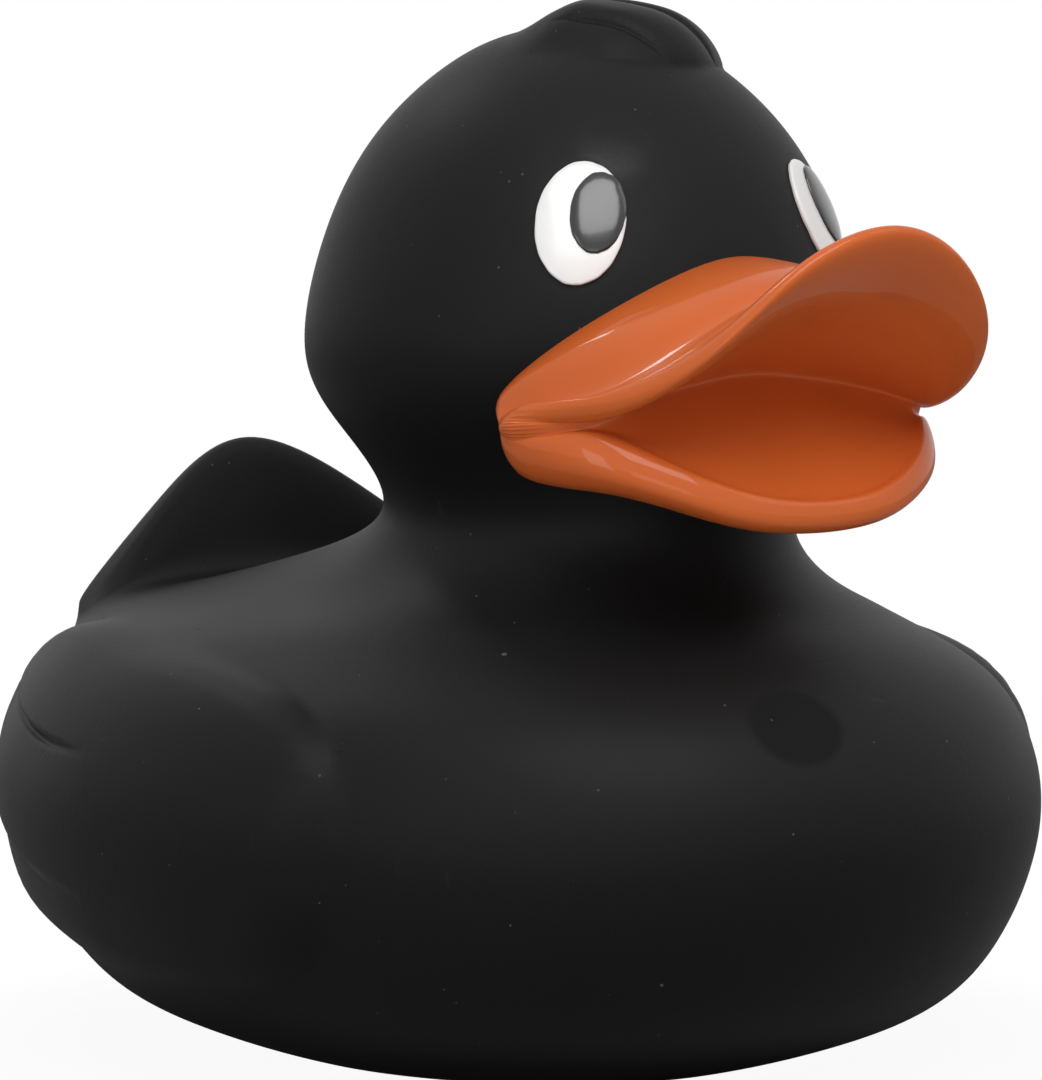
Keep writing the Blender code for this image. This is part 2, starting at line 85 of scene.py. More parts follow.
# Share of the rise to the neck, then of its radius: width, front and rear
NECK = (
    (0.20, 1.456, 1.507, 2.65),
    (0.46, 1.178, 1.312, 1.93),
    (1.00, 1.000, 1.190, 1.03),
)
# Share of the rise to the head's widest ring, and of the head's radius
HEAD = (
    (0.52, 0.902),
    (1.00, 1.000),
)
# Share of the rise from the widest ring to the top, and of the head's radius
CROWN = (
    (0.38, 0.900),
    (0.70, 0.690),
    (0.92, 0.390),
    (1.00, 0.110),
)
COLUMN_DEGREES = (0, 35, 70, 104, 136, 158, 180)
TAIL_COLUMNS = 2
TAIL_LOW_RING = 6
# How far the fan's first step and its sides stay behind its tip, and how far the sides hang
TAIL_STEP_BACK = 0.0100
TAIL_SIDE_BACK = 0.0180
TAIL_SIDE_DROP = 0.0110
# Share of the way out to the fan's edge, and of its thickness there
TAIL_STATIONS = ((0.45, 0.85), (0.85, 0.60), (1.0, 0.35))

# Powers of the wing's oval outline, the second for its squarer upper front corner
WING_POWER = 2.35
WING_CORNER_POWER = 4.2
# Least distance of a wing and of a slit from the duck's middle plane
WING_SIDE = 0.02
SLIT_SIDE = 0.05
# Places from the wing's middle between which its crease sharpens, and by how much
SHARP_FROM = -0.040
SHARP_BY = -0.054
SHARP_SHARE = 0.8
# Rear end, middle and front end of each slit, along the duck and up, from a wing's middle
SLITS = (
    ((0.0570, 0.0140), (0.0225, 0.0086), (-0.0150, 0.0066)),
    ((0.0590, -0.0040), (0.0270, -0.0134), (-0.0110, -0.0182)),
)
# Shares of a slit by which it is open, and from which it fades to its front end
SLIT_OPEN = 0.10
SLIT_FADE = 0.55
# The feather below a slit dips under the one above: softness of the step, reach and depth
LAP_EDGE = 0.0006
LAP_REACH = 0.0100
LAP_DEPTH = 0.0010
# Finer faces lie in a band inside a wing's outline, by its middle and half width, and this
# close to a slit, with this share of its length beyond each end
CREASE_MIDDLE = 0.0022
CREASE_BAND = 0.0034
SLIT_BAND = 0.0022
SLIT_SPARE = 0.05

# The bill is drawn from rings round its lips, from the middle to each corner
STATION_DEGREES = (0, 21, 42, 60, 76, 90)
# Shares of the mouth's half width, of the lip's reach and of its rise or drop
UPPER_RIM = (
    (0.000, 1.000, 1.050),
    (0.385, 0.950, 0.860),
    (0.625, 0.855, 0.490),
    (0.752, 0.655, 0.215),
    (0.872, 0.408, 0.060),
    (1.000, 0.060, 0.000),
)
LOWER_RIM = (
    (0.000, 1.000, 1.000),
    (0.356, 0.979, 0.865),
    (0.647, 0.815, 0.439),
    (0.812, 0.605, 0.169),
    (0.925, 0.360, 0.020),
    (1.000, 0.060, 0.000),
)
# Share of the half width, distance before the face, share of the throat's rise
THROAT = (
    (0.000, 0.0028, 1.28),
    (0.215, 0.0038, 1.12),
    (0.474, 0.0048, 0.86),
    (0.700, 0.0060, 0.46),
    (0.840, 0.0056, 0.16),
    (0.960, -0.0120, 0.00),
)
# By station, from the middle to a corner: how far the lower lip's underside hangs, how far
# the mouth is shut, and how far its ring is a plain round end
LIP_DROP = (0.0046, 0.0054, 0.0061, 0.0074, 0.0092, 0.0062)
SHUT = (0.0, 0.0, 0.0, 0.12, 0.55, 1.0)
ROUND_OFF = (0.0, 0.0, 0.0, 0.0, 0.04, 1.0)
# Power by which the bill's root drops to its ends, and share by which they are drawn in
ROOT_POWER = 1.5
ROOT_TUCK = 0.08
# Back of the upper lip: share of the way from root to rim, rise, and sink in the middle
HUMP = (0.26, 0.0030, 0.0058)
SLOPE = (0.47, 0.0012, 0.0066)
VALLEY = (0.56, -0.0011, 0.0082)
FLARE = (0.79, -0.0006, 0.0062)
HUMP_BULGE = 0.0010
# Upper rim, in halves of the lip's thickness: how far back its edges lie, and its nose out
RIM_BACK = 0.3
RIM_NOSE = 0.6
# Share of the lip's thickness left under the flare, and the roof's way from there
FLARE_SHARE = 0.95
ROOF_SHARE = 0.55
ROOF_RISE = 0.0010
THROAT_RISE = 0.0009
# Lower rim: how much narrower it is in the middle, and its edge and top, as inset and rise
RIM_NARROWING = 0.33
RIM_EDGE = (0.0014, 0.0003)
RIM_TOP = (0.0016, 0.0012)
TRAY_SAG = 0.0006
# Outer face of the lower lip: reach and depth of its bulge, more to a corner, and its tuck
BULGE_REACH = 0.0008
BULGE_DROP = 0.0018
BULGE_CORNER_DROP = 0.0024
LIP_TUCK = 0.0018
# Chin's depth under the mouth, less at its ends, and the point on the way there
CHIN_DEPTH = 0.016
CHIN_END_RISE = 0.006
UNDER_SHARE = 0.45
UNDER_SAG = 0.001
# Mouth corner: inset of its middle, reach and half angle of its round end
CORNER_INSET = 0.0030
CORNER_BULGE = 0.0050
CORNER_DEGREES = 84
# Points between the two rims, in the order of the ring, and their place when shut
INSIDE = range(4, 11)
SHUT_SHARE = 0.1
# Places across the tuft's comb, and how fast its front edge curves back
TUFT_MIDDLE = 0.0010
TUFT_HALF_WIDTH = 0.0245
TUFT_GROOVES = (-0.0148, -0.0004)
TUFT_CURVE = 1320.0
# Places along the comb where its flanks turn crisp, where it is lifted and where grooves start
TUFT_CRISP = (0.0030, 0.0130)
TUFT_LIFTED = 0.0040
GROOVE_STARTS = (-0.0030, 0.0060)
# Powers that round the tuft's front end and its flanks
TUFT_END_POWER = 0.8
TUFT_FLANK_POWER = 0.65
# Depth of a groove and of the lap beside it as shares of the height, and their widths
GROOVE_SHARE = 0.26
GROOVE_WIDTH = 0.0007
GROOVE_LAP_SHARE = 0.16
GROOVE_LAP_WIDTH = 0.0042
# Finer faces lie this close to a groove, round its middle along the comb
GROOVE_BAND = 0.0014
GROOVE_MIDDLE = 0.0110
GROOVE_HALF_LENGTH = 0.0155
# They also cover the tuft, over this rise from the head's widest ring, with some to spare
TUFT_RISE = 0.020
TUFT_SPARE = 0.002
TUFT_REAR = 0.004
# Faint groove round the white of an eye, by its share of the white's radii
EYE_GROOVE_DEPTH = 0.00012
EYE_GROOVE_PLACE = 1.05
EYE_GROOVE_WIDTH = 0.04
# Finer faces lie in a band round that groove. Points deeper than this aren't near an eye
EYE_BAND_PLACE = 1.1
EYE_BAND = 0.16
EYE_DEPTH = 0.015
OUTSIDE = 9.0
# Points round a pad of eye paint, how far it is sunk, and how far off its rays start
PAD_SIDES = 64
PAD_SUNK = 0.0015
RAY_START = 0.05
# White left beside a pupil, and how far the pupil's paint stands over the white
PUPIL_MARGIN = 0.0003
PUPIL_RISE = 0.0003
# Shares of the head's radius, ahead of its middle, of the face and of the mouth's corners
FACE_SHARE = 0.96
CORNER_SHARE = 0.64
# Angle from straight ahead to the ends of the chin's line
CHIN_ANGLE = radians(54)
# A mouth corner is smoothed this many times, out to this many of its half heights
CORNER_REACH = 2.2
CORNER_SMOOTHINGS = 30
# Bore for the squeaker: gap round its flange, depth of the flange's recess, step in from
# there to the cup's bore, and gap over the cup
FLANGE_GAP = 0.0003
RECESS_DEPTH = 0.0015
CUP_INSET = 0.0035
CUP_GAP = 0.0010

# Gloss patch over the brow, by its angle and height, and fingertip mark on the breast
GLOSS_ANGLE = radians(-27)
GLOSS_HEIGHT = 0.1735
GLOSS_RADII = (0.0085, 0.0085, 0.0100)
SMUDGE_MIDDLE = (-0.0100, -0.0973, 0.0710)
SMUDGE_RADII = (0.0105, 0.0105, 0.0088)

FLOOR_SIZE = 12.0
FLOOR_DROP = 0.0002
# Share of white that the camera sees in the floor near the duck, and where it grows to 1
FLOOR_WHITE = 0.94
FLOOR_NEAR = 0.09
FLOOR_FAR = 0.14
# Name, angle round the duck, angle over the floor, distance, width, height and watts
LAMPS = (
    ("key_softbox", -25.0, 50.0, 1.30, 0.90, 0.70, 10.2),
    ("window_softbox", -168.0, 49.0, 1.20, 0.15, 0.15, 1.1),
    ("side_softbox", -72.0, 8.0, 1.40, 0.30, 0.60, 1.8),
    ("front_softbox", -38.0, 3.0, 1.50, 0.90, 0.40, 1.8),
    ("fill_softbox", 40.0, 42.0, 1.40, 0.60, 0.60, 1.3),
)
LAMP_TARGET = Vector((0.0, 0.0, 0.10))
AIR_LIGHT = 0.21


def length(name, default, description):
    return FloatProperty(name=name, default=default, description=description, unit="LENGTH")


def angle(name, degrees, description):
    return FloatProperty(
        name=name, default=radians(degrees), description=description, subtype="ANGLE"
    )


def colour(name, default, description):
    return FloatVectorProperty(
        name=name,
        default=default,
        description=description,
        subtype="COLOR",
        min=0.0,
        max=1.0,
    )


class BodySizes(PropertyGroup):
    middle: length("Middle", 0.0027, "Middle of the body along the duck")
    half_width: length("Half width", 0.0930, "Half the body's width without its wings")
    front: length("Front", 0.1090, "Reach of the breast from the middle")
    rear: length("Rear", 0.1090, "Reach of the rump from the middle")
    widest: length("Widest height", 0.0430, "Height at which the body is widest")
    shoulder: length("Shoulder height", 0.0820, "Height at which the back closes in")
    neck_radius: length("Neck radius", 0.0375, "Radius of the neck at its narrowest")
    neck: length("Neck height", 0.1050, "Height of the neck's narrowest ring")
    head_radius: length("Head radius", 0.0528, "Radius of the head at its widest")
    head_y: length("Head place", -0.0173, "Middle of the head along the duck")
    head: length("Head height", 0.1385, "Height of the head's widest ring")
    crown: length("Crown height", 0.1960, "Height of the head without its tuft")
    tail_y: length("Tail reach", 0.1047, "Tail's tip along the duck")
    tail: length("Tail height", 0.1175, "Height of the tail's tip")
    tail_shoulder_x: length("Tail step", 0.0250, "Width of one step of the tail's fan")
    tail_shoulder: length("Tail shoulder", 0.1010, "Height of the fan's first step")
    tail_thickness: length("Tail thickness", 0.0110, "Thickness of the tail at its root")
    detail: IntProperty(
        name="Detail",
        default=4,
        min=2,
        max=4,
        description="Levels of smoothing on the body",
    )


class ReliefSizes(PropertyGroup):
    wing_y: length("Wing place", 0.0177, "Middle of a wing along the duck")
    wing_z: length("Wing height", 0.0540, "Height of a wing's middle")
    wing_tilt: angle("Wing tilt", 12.0, "How far a wing faces up")
    wing_length: length("Wing half length", 0.0690, "Half the length of a wing")
    wing_height: length("Wing half height", 0.0330, "Half the height of a wing")
    wing_rise: length("Wing rise", 0.0095, "How far a wing climbs to its tip")
    wing_lean: FloatProperty(
        name="Wing lean", default=0.16, description="Lean of the wing's front edge"
    )
    wing_thickness: length("Wing thickness", 0.0042, "How far a wing stands proud")
    wing_edge: length("Wing edge", 0.0102, "Width of the rounded edge of a wing")
    wing_soft: length("Wing softness", 0.0009, "Softness of the crease round a wing")
    slit_depth: length("Slit depth", 0.0020, "Depth of the slits between the feathers")
    slit_width: length("Slit width", 0.0007, "Half the width of a slit")
    tuft_height: length("Tuft height", 0.0054, "How far the tuft stands proud")
    tuft_reach: length("Tuft reach", 0.0260, "Reach of the tuft over the brow")
    tuft_back: length("Tuft back", 0.0120, "Reach of the tuft towards the nape")
    tuft_roll: length("Tuft roll", 0.0125, "Width of the rounded end of the tuft")
    tuft_comb: angle("Tuft comb", 40.0, "Way the tuft is combed, from straight ahead")


class BillSizes(PropertyGroup):
    half_width: length("Half width", 0.0464, "Half the width between the mouth's corners")
    mouth: length("Mouth height", 0.1235, "Height of the mouth's corners")
    mouth_rise: length("Mouth rise", 0.0070, "How far the throat arches in the middle")
    corner_gap: length("Corner gap", 0.0024, "Gap between the lips at a corner")
    upper_reach: length("Upper reach", 0.0448, "Reach of the upper lip from the face")
    upper_rise: length("Upper rise", 0.0350, "How far the upper lip curls up")
    lower_reach: length("Lower reach", 0.0252, "Reach of the lower lip from the face")
    lower_drop: length("Lower drop", 0.0143, "How far the lower lip hangs")
    lip: length("Lip thickness", 0.0050, "Thickness of the lips at their rims")
    root_rise: length("Root rise", 0.0316, "Height of the bill's root over the mouth")
    root_end: length("Root end", 0.0030, "Height of the root's ends over the mouth")
    root_angle: angle("Root angle", 60.0, "How far round the head the root runs")
    root_depth: length("Root depth", 0.0050, "How deep the root is sunk in the head")
    tray_margin: length("Tray margin", 0.0054, "Width of the rim round the lower tray")
    tray_depth: length("Tray depth", 0.0012, "Depth of the lower tray below its rim")
    corner_height: length("Corner height", 0.0048, "Half the height of a mouth corner")


class EyeSizes(PropertyGroup):
    right: angle("Right eye", 35.9, "Angle of the right eye from straight ahead")
    left: angle("Left eye", 33.3, "Angle of the left eye from straight ahead")
    lean: angle("Eye lean", 6.7, "Lean of an eye, back at its top")
    height: length("Eye height", 0.1600, "Height of an eye's middle")
    half_width: length("Half width", 0.0082, "Half the width of the white")
    half_height: length("Half height", 0.0120, "Half the height of the white")
    step: length("Step", 0.0008, "How far the white stands proud")
    pupil_half_width: length("Pupil half width", 0.0050, "Half the width of the pupil")
    pupil_half_height: length("Pupil half height", 0.0080, "Half the height of the pupil")
    pupil_lift: length("Pupil lift", 0.0020, "Height of the pupil over the eye's middle")


class Colours(PropertyGroup):
    vinyl: colour("Vinyl", (0.0042, 0.0042, 0.0044), "Body of the moulding")
    bill: colour("Bill paint", (0.6600, 0.1320, 0.0260), "Paint on the bill")
    white: colour("White paint", (0.8700, 0.8700, 0.8600), "Paint of the eyes")
    pupil: colour("Pupil paint", (0.0100, 0.0100, 0.0110), "Paint of the pupils")
    plastic: colour("Squeaker", (0.7500, 0.7500, 0.7300), "Plastic of the squeaker")
    film: colour("Reed", (0.5500, 0.5800, 0.6000), "Film of the squeaker's reed")
    paper: colour("Floor", (0.5500, 0.5500, 0.5500), "Paper that the duck stands on")


class StudioSettings(PropertyGroup):
    azimuth: angle("Camera azimuth", -35.0, "Camera's angle round the duck")
    elevation: angle("Camera elevation", 4.7, "Camera's angle over the floor")
    distance: length("Camera distance", 1.1000, "Camera's distance from the duck")
    target: length("Target height", 0.0970, "Height that the camera looks at")
    scale: FloatProperty(
        name="Photo scale",
        default=5180.0,
        description="Photo pixels that a metre of the duck covers",
    )


# Meshes


def deselect():
    bpy.ops.object.select_all(action="DESELECT")


def take_active(name):
    piece = bpy.context.active_object
    piece.name = name
    piece.data.name = name
    return piece


def activate(piece):
    deselect()
    piece.select_set(True)
    bpy.context.view_layer.objects.active = piece


def apply_change(piece, kind, **settings):
    activate(piece)
    change = piece.modifiers.new(kind.title(), kind)
    for key, value in settings.items():
        setattr(change, key, value)
    bpy.ops.object.modifier_apply(modifier=change.name)


def edit(piece, action, **settings):
    """Runs one edit-mode operator on the whole piece."""
    activate(piece)
    bpy.ops.object.mode_set(mode="EDIT")
    bpy.ops.mesh.select_all(action="SELECT")
    action(**settings)
    bpy.ops.object.mode_set(mode="OBJECT")


def draw_rings(name, grid):
    """Stack of rings drawn up from a circle, each vertex then put in its place."""
    count = len(grid[0])
    deselect()
    bpy.ops.mesh.primitive_circle_add(vertices=count, radius=1.0, fill_type="NGON")
    piece = take_active(name)
    bpy.ops.object.mode_set(mode="EDIT")
    bpy.ops.mesh.select_all(action="SELECT")
    for _ in grid[1:]:
        bpy.ops.mesh.extrude_region_move(TRANSFORM_OT_translate={"value": (0, 0, 1)})
    bpy.ops.object.mode_set(mode="OBJECT")
    first = piece.data.vertices[0].co
    start = atan2(first.y, first.x)
    for vert in piece.data.vertices:
        column = round((atan2(vert.co.y, vert.co.x) - start) * count / (2 * pi)) % count
        vert.co = grid[round(vert.co.z)][column]
    edit(piece, bpy.ops.mesh.normals_make_consistent, inside=False)
    return piece


def spline_matrix(count, closed):
    """Weights by which a cage's points give the points of its smooth surface."""
    weights = np.eye(count)
    for i in range(count):
        if closed or 0 < i < count - 1:
            weights[i, i] = 4 / 6
            weights[i, (i - 1) % count] += 1 / 6
            weights[i, (i + 1) % count] += 1 / 6
    return weights


def cage_through(grid):
    """Cage whose smooth surface passes through a grid of rows that are closed rings."""
    points = np.array(grid, float)
    rows = np.linalg.inv(spline_matrix(points.shape[0], False))
    columns = np.linalg.inv(spline_matrix(points.shape[1], True))
    return np.einsum("ij,jkc,lk->ilc", rows, points, columns)


def body_sections(body):
    """Height, middle, half width, front reach and rear reach of each ring."""
    sections = []
    for share, spread, rear in LOWER_BODY:
        sections.append(
            (
                share * body.widest,
                body.middle,
                body.half_width * spread,
                body.front * spread,
                body.rear * rear,
            )
        )
    for share, width, front, rear in SHOULDER:
        sections.append(
            (
                body.widest + share * (body.shoulder - body.widest),
                body.middle,
                body.half_width * width,
                body.front * front,
                body.rear * rear,
            )
        )
    for share, width, front, rear in NECK:
        sections.append(
            (
                body.shoulder + share * (body.neck - body.shoulder),
                body.head_y,
                body.neck_radius * width,
                body.neck_radius * front,
                body.neck_radius * rear,
            )
        )
    for share, spread in HEAD:
        radius = body.head_radius * spread
        z = body.neck + share * (body.head - body.neck)
        sections.append((z, body.head_y, radius, radius, radius))
    for share, spread in CROWN:
        radius = body.head_radius * spread
        z = body.head + share * (body.crown - body.head)
        sections.append((z, body.head_y, radius, radius, radius))
    return sections


def body_ring(section):
    z, middle, half_width, front, rear = section
    half = [radians(a) for a in COLUMN_DEGREES]
    points = []
    for turn in half + [2 * pi - a for a in reversed(half[1:-1])]:
        reach = front if cos(turn) > 0 else rear
        points.append((half_width * sin(turn), middle - reach * cos(turn), z))
    return points


def nearest(points, place):
    return min(range(len(points)), key=lambda i: (Vector(points[i]) - place).length)


def draw_tail(piece, body, grid):
    """Wide fan drawn out of the faces at the rear of the back, one extrusion at a time."""
    rear = len(COLUMN_DEGREES) - 1
    columns = range(rear - TAIL_COLUMNS, rear + TAIL_COLUMNS + 1)
    low = [Vector(grid[TAIL_LOW_RING][c]) for c in columns]
    high = [Vector(grid[TAIL_LOW_RING + 1][c]) for c in columns]
    root = low + high[::-1]
    steps = [i - TAIL_COLUMNS for i in range(len(low))]
    tips = (
        (body.tail_y, body.tail),
        (body.tail_y - TAIL_STEP_BACK, body.tail_shoulder),
        (
            body.tail_y - TAIL_SIDE_BACK,
            0.5 * (body.tail_shoulder + body.shoulder) - TAIL_SIDE_DROP,
        ),
    )
    activate(piece)
    bpy.ops.object.mode_set(mode="EDIT")
    bpy.ops.mesh.select_mode(type="FACE")
    bpy.ops.mesh.select_all(action="DESELECT")
    mesh = bmesh.from_edit_mesh(piece.data)
    for face in mesh.faces:
        gaps = [(root[nearest(root, v.co)] - v.co).length for v in face.verts]
        face.select_set(max(gaps) < SAME_PLACE)
    bmesh.update_edit_mesh(piece.data)
    ring = root
    for share, thickness in TAIL_STATIONS:
        grown = []
        for i in range(len(ring)):
            top = i >= len(low)
            step = steps[2 * len(low) - 1 - i if top else i]
            y, z = tips[abs(step)]
            side = -1 if top else 1
            y += side * thickness * body.tail_thickness / 2
            tip = Vector((-step * body.tail_shoulder_x, y, z))
            grown.append(root[i].lerp(tip, share))
        bpy.ops.mesh.extrude_region_move(TRANSFORM_OT_translate={"value": (0, 0, 0)})
        mesh = bmesh.from_edit_mesh(piece.data)
        for vert in [v for v in mesh.verts if v.select]:
            vert.co = grown[nearest(ring, vert.co)]
        bmesh.update_edit_mesh(piece.data)
        ring = grown
    bpy.ops.object.mode_set(mode="OBJECT")


def get_points(mesh):
    points = np.empty(len(mesh.vertices) * 3)
    mesh.vertices.foreach_get("co", points)
    return points.reshape(-1, 3)


def get_normals(mesh):
    normals = np.empty(len(mesh.vertices) * 3)
    mesh.vertices.foreach_get("normal", normals)
    return normals.reshape(-1, 3)


def select_faces(piece, test):
    """Selects, in edit mode, the faces whose middle passes the test."""
    bpy.ops.mesh.select_mode(type="FACE")
    bpy.ops.mesh.select_all(action="DESELECT")
    mesh = bmesh.from_edit_mesh(piece.data)
    middles = np.array([face.calc_center_median() for face in mesh.faces])
    for face, chosen in zip(mesh.faces, test(middles)):
        if chosen:
            face.select_set(True)
    bmesh.update_edit_mesh(piece.data)


def refine(piece, test, cuts):
    """Subdivides the faces whose middle passes the test."""
    activate(piece)
    bpy.ops.object.mode_set(mode="EDIT")
    select_faces(piece, test)
    bpy.ops.mesh.subdivide(number_cuts=cuts)
    bpy.ops.object.mode_set(mode="OBJECT")


def soften(piece, test, times):
    """Smooths the faces whose middle passes the test."""
    activate(piece)
    bpy.ops.object.mode_set(mode="EDIT")
    select_faces(piece, test)
    bpy.ops.mesh.vertices_smooth(factor=0.5, repeat=times)
    bpy.ops.object.mode_set(mode="OBJECT")


def smooth_step(low, high, value):
    t = np.clip((value - low) / (high - low), 0.0, 1.0)
    return t * t * (3 - 2 * t)


def bell(value, width):
    return np.exp(-((value / width) ** 2))


# Relief on the body


def wing_inside(points, side, body, relief):
    """How far each point lies inside a wing's outline, negative outside it."""
    up = np.array((-side * sin(relief.wing_tilt), 0.0, cos(relief.wing_tilt)))
    middle = np.array((side * body.half_width, relief.wing_y, relief.wing_z))
    offset = points - middle
    p = offset[:, 1]
    q = offset @ up - relief.wing_rise * p / relief.wing_length
    p = p + relief.wing_lean * q
    corner = (p < 0) & (q > 0)
    power = np.where(corner, WING_CORNER_POWER, WING_POWER)
    across = np.abs(p / relief.wing_length) + 1e-9
    along = np.abs(q / relief.wing_height) + 1e-9
    ratio = (across**power + along**power) ** (1 / power)
    inside = np.hypot(p, q) * (1 / ratio - 1)
    return np.where(points[:, 0] * side > WING_SIDE, inside, -1.0)


def slit_lines(relief):
    """Rear end, middle and front end of each slit, as places along the duck and heights."""
    return [[(relief.wing_y + y, relief.wing_z + z) for y, z in slit] for slit in SLITS]


def slit_offset(points, line):
    """Height of each point over a slit, and its place from 0 at the rear to 1."""
    (y0, z0), (y1, z1), (y2, z2) = line
    share = (y0 - points[:, 1]) / (y0 - y2)
    middle = (y0 - y1) / (y0 - y2)
    bend = (z1 - (z0 + (z2 - z0) * middle)) / (middle * (1 - middle))
    height = z0 + (z2 - z0) * share + bend * share * (1 - share)
    return points[:, 2] - height, share


def near_slit(points, relief, reach):
    chosen = np.zeros(len(points), bool)
    for line in slit_lines(relief):
        over, share = slit_offset(points, line)
        chosen |= (np.abs(over) < reach) & (share > -SLIT_SPARE) & (share < 1 + SLIT_SPARE)
    return chosen & (np.abs(points[:, 0]) > SLIT_SIDE)


def wing_height(points, body, relief):
    height = np.zeros(len(points))
    for side in (-1, 1):
        inside = wing_inside(points, side, body, relief)
        front = smooth_step(SHARP_FROM, SHARP_BY, points[:, 1] - relief.wing_y)
        soft = relief.wing_soft * (1 - SHARP_SHARE * front)
        depth = np.logaddexp(0.0, (inside - soft) / soft)
        share = np.clip(depth * soft / relief.wing_edge, 0.0, 1.0)
        raised = relief.wing_thickness * np.sin(pi / 2 * share)
        for line in slit_lines(relief):
            over, share = slit_offset(points, line)
            taper = smooth_step(0.0, SLIT_OPEN, share) * smooth_step(1.0, SLIT_FADE, share)
            cut = bell(over, relief.slit_width) * relief.slit_depth
            lap = smooth_step(0.0, -LAP_EDGE, over) * bell(over, LAP_REACH) * LAP_DEPTH
            raised -= taper * (cut + lap) * (inside > 0) * (points[:, 0] * side > 0)
        height = height + raised
    return height


def tuft_place(points, body, relief):
    """Places along the comb of the tuft and across it, from the middle of the head."""
    x = points[:, 0]
    y = points[:, 1] - body.head_y
    s, c = sin(relief.tuft_comb), cos(relief.tuft_comb)
    return x * s - y * c, x * c + y * s


def tuft_height(points, body, relief):
    """Three locks combed over the brow, which end in one rounded roll."""
    along, across = tuft_place(points, body, relief)
    off = np.abs(across - TUFT_MIDDLE)
    front = (relief.tuft_reach - TUFT_CURVE * off**3) - along
    front = front / np.sqrt(1 + (3 * TUFT_CURVE * off**2) ** 2)
    side = TUFT_HALF_WIDTH - off
    end = np.clip(front / relief.tuft_roll, 0.0, 1.0)
    flank = np.clip(side / relief.tuft_roll, 0.0, 1.0)
    crisp = smooth_step(*TUFT_CRISP, along)
    faded = smooth_step(0.0, 1.0, flank)
    flank = faded + ((1 - (1 - flank) ** 2) ** TUFT_FLANK_POWER - faded) * crisp
    round_end = (1 - (1 - end) ** 2) ** TUFT_END_POWER * flank
    lift = smooth_step(-relief.tuft_back, TUFT_LIFTED, along)
    parted = np.ones(len(points))
    starts = smooth_step(*GROOVE_STARTS, along)
    for groove in TUFT_GROOVES:
        gap = np.abs(across - groove)
        lap = GROOVE_LAP_SHARE * bell(gap, GROOVE_LAP_WIDTH) * (across < groove)
        parted -= starts * (GROOVE_SHARE * np.exp(-gap / GROOVE_WIDTH) + lap)
    return relief.tuft_height * lift * round_end * parted * (points[:, 2] > body.head)


def near_groove(points, body, relief):
    along, across = tuft_place(points, body, relief)
    near = np.zeros(len(points), bool)
    for groove in TUFT_GROOVES:
        near |= np.abs(across - groove) < GROOVE_BAND
    near &= np.abs(along - GROOVE_MIDDLE) < GROOVE_HALF_LENGTH
    return near & (points[:, 2] > body.head)


def near_tuft(points, body, relief):
    along, across = tuft_place(points, body, relief)
    high = points[:, 2] > body.head + TUFT_RISE
    inside = np.abs(across - TUFT_MIDDLE) < TUFT_HALF_WIDTH + TUFT_SPARE
    return high & inside & (along > -TUFT_REAR) & (along < relief.tuft_reach + TUFT_SPARE)


def make_body(sizes, relief, eyes):
    grid = cage_through([body_ring(section) for section in body_sections(sizes)])
    piece = draw_rings("moulded_body", grid)
    draw_tail(piece, sizes, grid)
    levels = sizes.detail
    apply_change(piece, "SUBSURF", levels=levels, render_levels=levels)
    edit(
        piece,
        bpy.ops.mesh.bisect,
        plane_co=(0, 0, 0),
        plane_no=(0, 0, 1),
        use_fill=True,
        clear_inner=True,
    )
    smooth = surface_tree(piece)

    def wing_band(points):
        right = wing_inside(points, -1, sizes, relief) - CREASE_MIDDLE
        left = wing_inside(points, 1, sizes, relief) - CREASE_MIDDLE
        return (np.abs(right) < CREASE_BAND) | (np.abs(left) < CREASE_BAND)

    def eye_band(points):
        return np.abs(eye_ring(points, views, eyes) - EYE_BAND_PLACE) < EYE_BAND

    views = [eye_view(smooth, side, sizes, eyes) for side in (-1, 1)]
    refine(piece, wing_band, 1)
    refine(piece, lambda points: near_slit(points, relief, SLIT_BAND), 3)
    refine(piece, lambda points: near_tuft(points, sizes, relief), 1)
    refine(piece, lambda points: near_groove(points, sizes, relief), 2)
    refine(piece, eye_band, 1)
    mesh = piece.data
    points = get_points(mesh)
    normals = get_normals(mesh)
    height = wing_height(points, sizes, relief) + tuft_height(points, sizes, relief)
    ring = eye_ring(points, views, eyes)
    height -= EYE_GROOVE_DEPTH * bell(ring - EYE_GROOVE_PLACE, EYE_GROOVE_WIDTH)
    points = points + normals * height[:, None]
    mesh.vertices.foreach_set("co", points.ravel())
    mesh.update()
    return piece, smooth


def bore_base(piece):
    """Recess and bore for the squeaker, cut from its own size."""
    low, high = (Vector(corner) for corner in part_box("squeaker_cup"))
    flange = (high.x - low.x) / 2 + FLANGE_GAP
    cutters = (
        (flange, low.z + RECESS_DEPTH),
        (flange - CUP_INSET, high.z + CUP_GAP),
    )
    for radius, top in cutters:
        deselect()
        depth = 2 * top
        bpy.ops.mesh.primitive_cylinder_add(
            vertices=64, radius=radius, depth=depth, location=(0, 0, 0)
        )
        cutter = take_active("base_cutter")
        apply_change(piece, "BOOLEAN", operation="DIFFERENCE", object=cutter)
        bpy.data.objects.remove(cutter)


def surface_tree(piece):
    mesh = bmesh.new()
    mesh.from_mesh(piece.data)
    tree = BVHTree.FromBMesh(mesh)
    mesh.free()
    return tree


def face_point(tree, turn, z, body):
    """Point on the head at a height, by its angle from straight ahead."""
    start = Vector((0, body.head_y, z))
    point, normal, _, _ = tree.ray_cast(start, Vector((sin(turn), -cos(turn), 0)))
    if normal.dot(point - start) < 0:
        normal = -normal
    return point, normal


# Eyes


